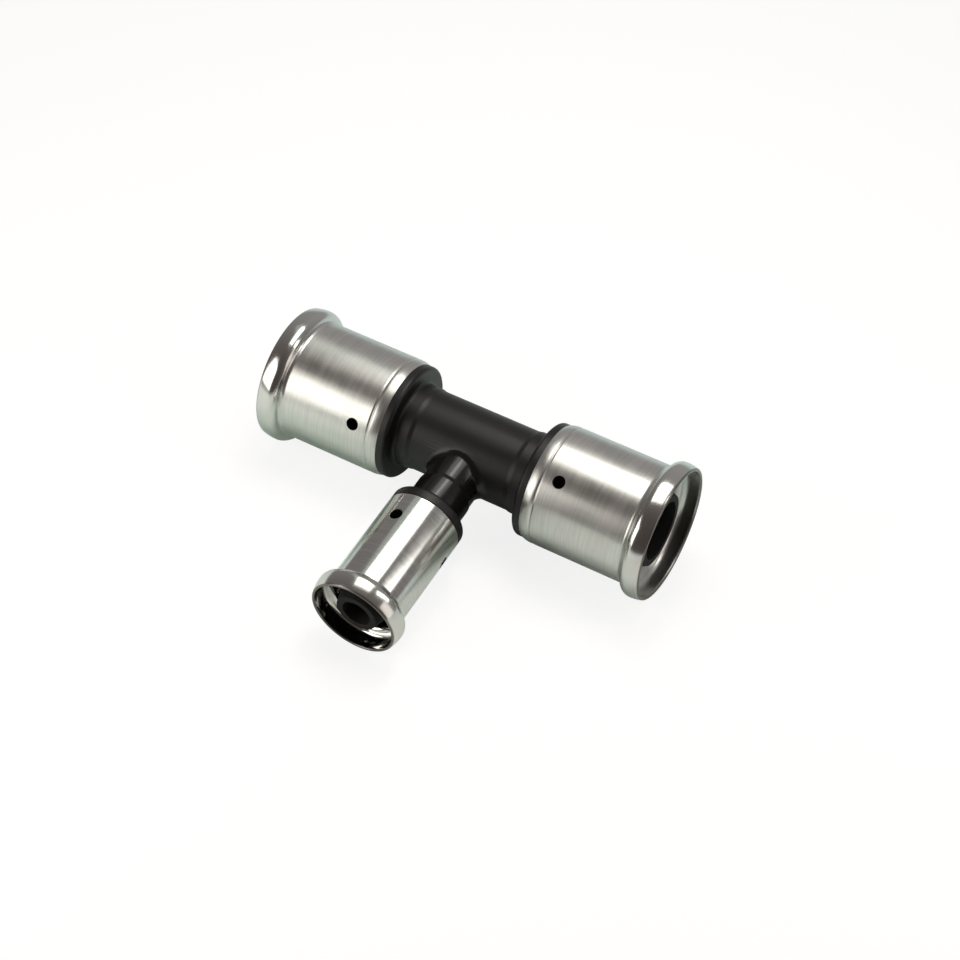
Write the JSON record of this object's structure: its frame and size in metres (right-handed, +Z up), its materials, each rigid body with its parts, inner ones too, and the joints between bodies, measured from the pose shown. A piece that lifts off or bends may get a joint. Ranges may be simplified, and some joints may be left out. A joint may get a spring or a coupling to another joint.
{
  "type": "press tee fitting",
  "caption": "Reducing press tee: a black moulded body with sealed nipples joins a pipe run to a smaller branch, each end in a crimpable steel sleeve with a beaded mouth.",
  "frame": {"origin": "where the axes of the run and the branch cross", "axes": "+X along the run, -Y along the branch towards its mouth, +Z up"},
  "size_m": [0.1, 0.0706, 0.0328],
  "materials": {
    "body_plastic": "satin black moulding",
    "sleeve_steel": "bright drawn stainless sheet",
    "seal_rubber": "matt black"
  },
  "bodies": {
    "root": {"tee_body": "body_plastic", "run_sleeve_left": "sleeve_steel", "run_sleeve_right": "sleeve_steel", "branch_sleeve": "sleeve_steel", "seal_left_inner": "seal_rubber", "seal_left_outer": "seal_rubber", "seal_right_inner": "seal_rubber", "seal_right_outer": "seal_rubber", "seal_branch_inner": "seal_rubber", "seal_branch_outer": "seal_rubber"}
  },
  "joints": []
}
